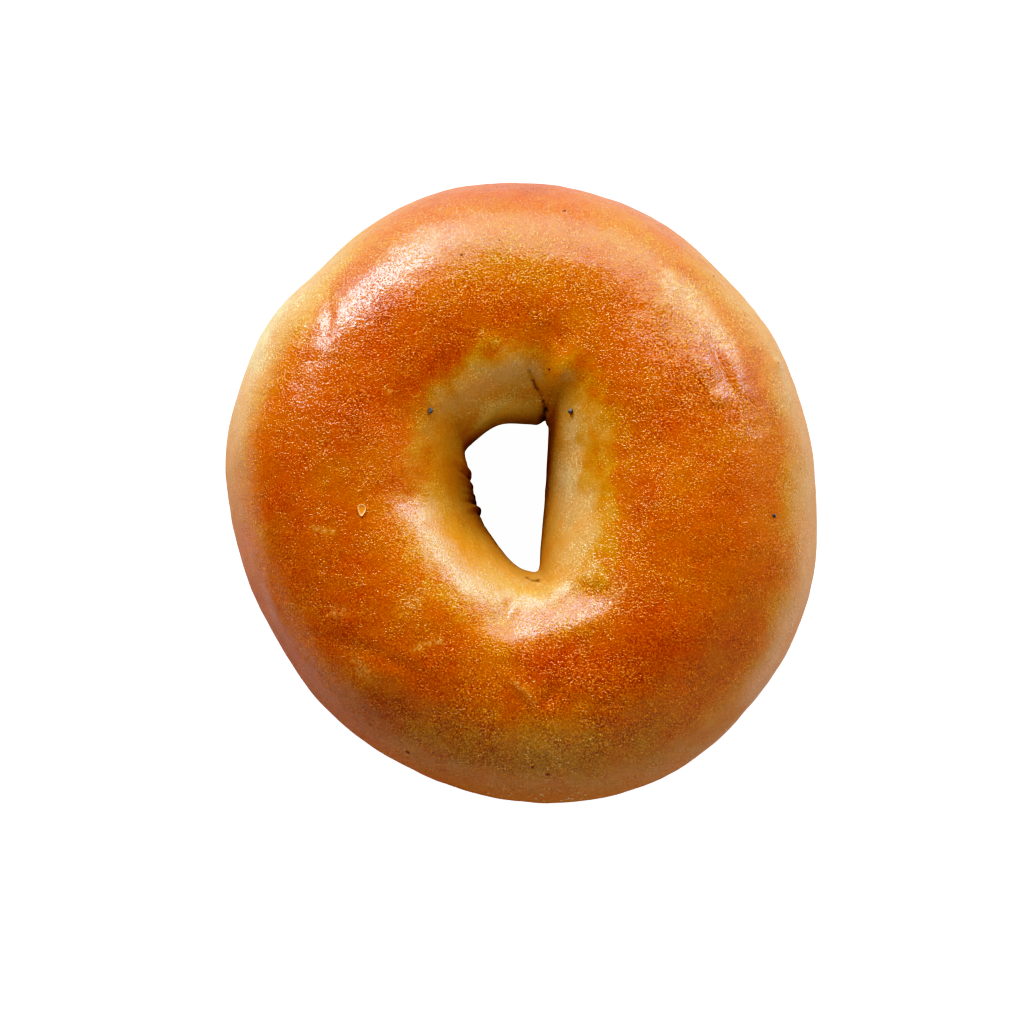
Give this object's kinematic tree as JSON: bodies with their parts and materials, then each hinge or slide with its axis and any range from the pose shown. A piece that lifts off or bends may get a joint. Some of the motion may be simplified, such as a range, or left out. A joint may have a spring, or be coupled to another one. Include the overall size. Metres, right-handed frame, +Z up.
{
  "type": "bagel",
  "caption": "Baked ring of bread with a flat base, a domed golden-brown crust and an uneven half-moon hole.",
  "frame": {"origin": "middle of the bagel's outline at the level of its flat base", "axes": "+Z up out of the crust, +Y along the longer outline from the dent towards the seam, +X along the shorter"},
  "size_m": [0.1042, 0.11, 0.0398],
  "materials": {
    "crust": "baked crust: golden brown and softly glossy on top, pale tan and matt on the sides, base and hole"
  },
  "bodies": {
    "root": {"bagel": "crust"}
  },
  "joints": []
}
